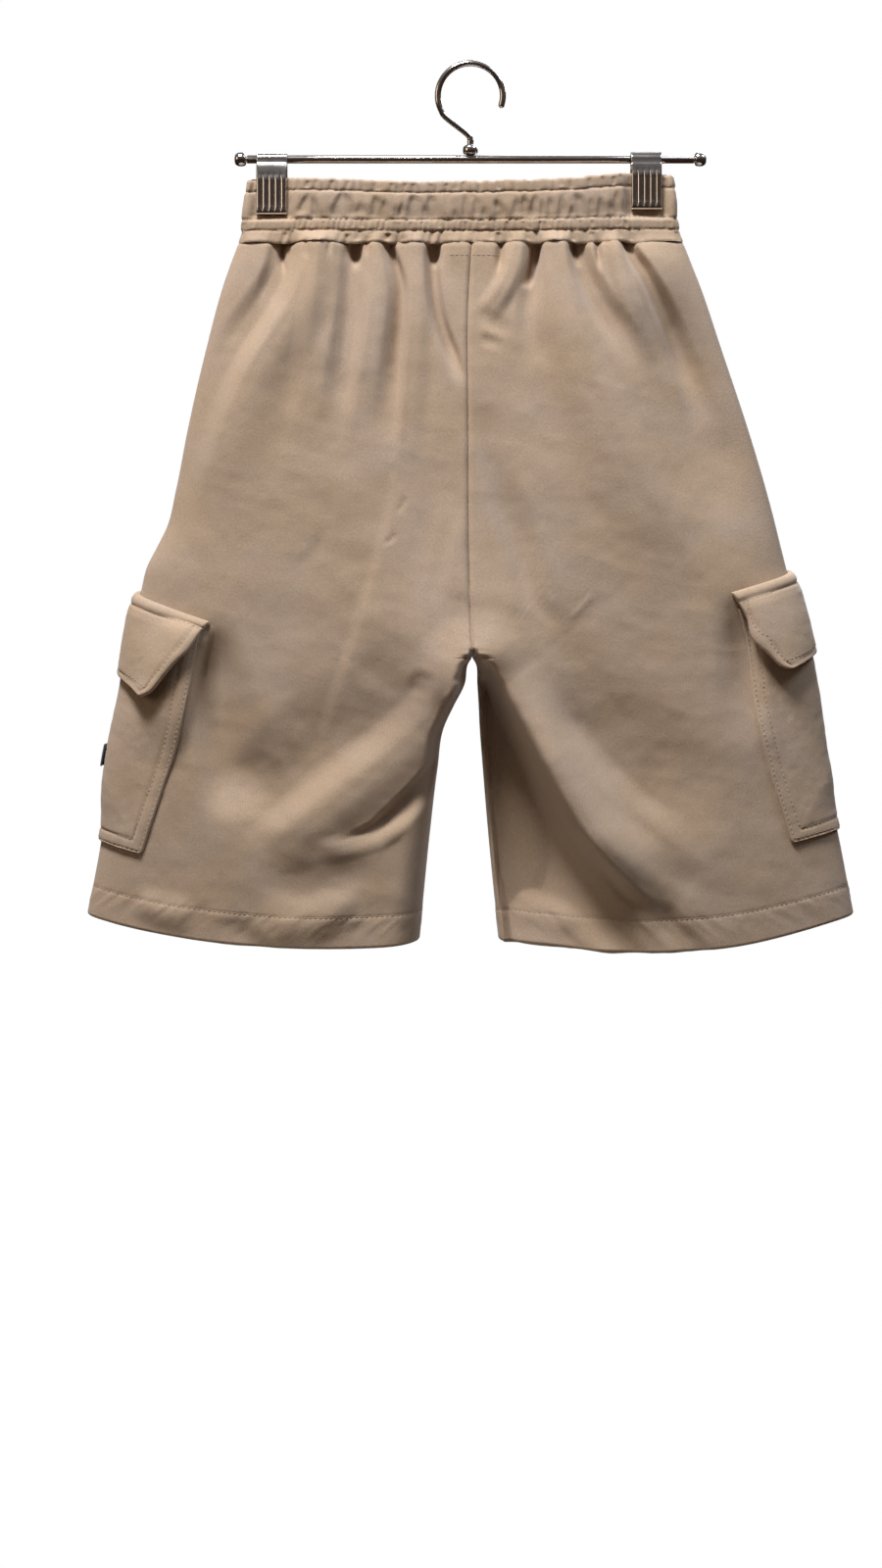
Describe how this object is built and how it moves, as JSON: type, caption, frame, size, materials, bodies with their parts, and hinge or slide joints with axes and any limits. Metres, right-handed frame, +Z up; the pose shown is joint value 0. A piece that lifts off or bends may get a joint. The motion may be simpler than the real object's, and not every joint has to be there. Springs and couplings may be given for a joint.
{
  "type": "cargo shorts on a clip hanger",
  "caption": "Knit pull-on cargo shorts with a gathered elastic waist and flapped side pockets, hung by the waistband from a wire trouser hanger with sprung clips.",
  "frame": {"origin": "top inside of the hanger's hook, where a rail carries it", "axes": "+Z up along the hanging garment; the back of the shorts faces -Y and the front +Y; the wearer's right leg is at +X"},
  "size_m": [0.468, 0.0808, 0.5389],
  "materials": {
    "cloth": "matt cotton sweatshirt jersey",
    "label": "blank woven label",
    "hanger_metal": "bright chrome plate"
  },
  "bodies": {
    "root": {"waistband": "cloth", "back_left": "cloth", "back_right": "cloth", "front_left": "cloth", "front_right": "cloth", "pocket_left": "cloth", "pocket_right": "cloth", "flap_left": "cloth", "flap_right": "cloth", "label": "label", "bar": "hanger_metal", "bar_cap_left": "hanger_metal", "bar_cap_right": "hanger_metal", "collar": "hanger_metal", "hook": "hanger_metal", "clip_left": "hanger_metal", "clip_right": "hanger_metal"}
  },
  "joints": []
}
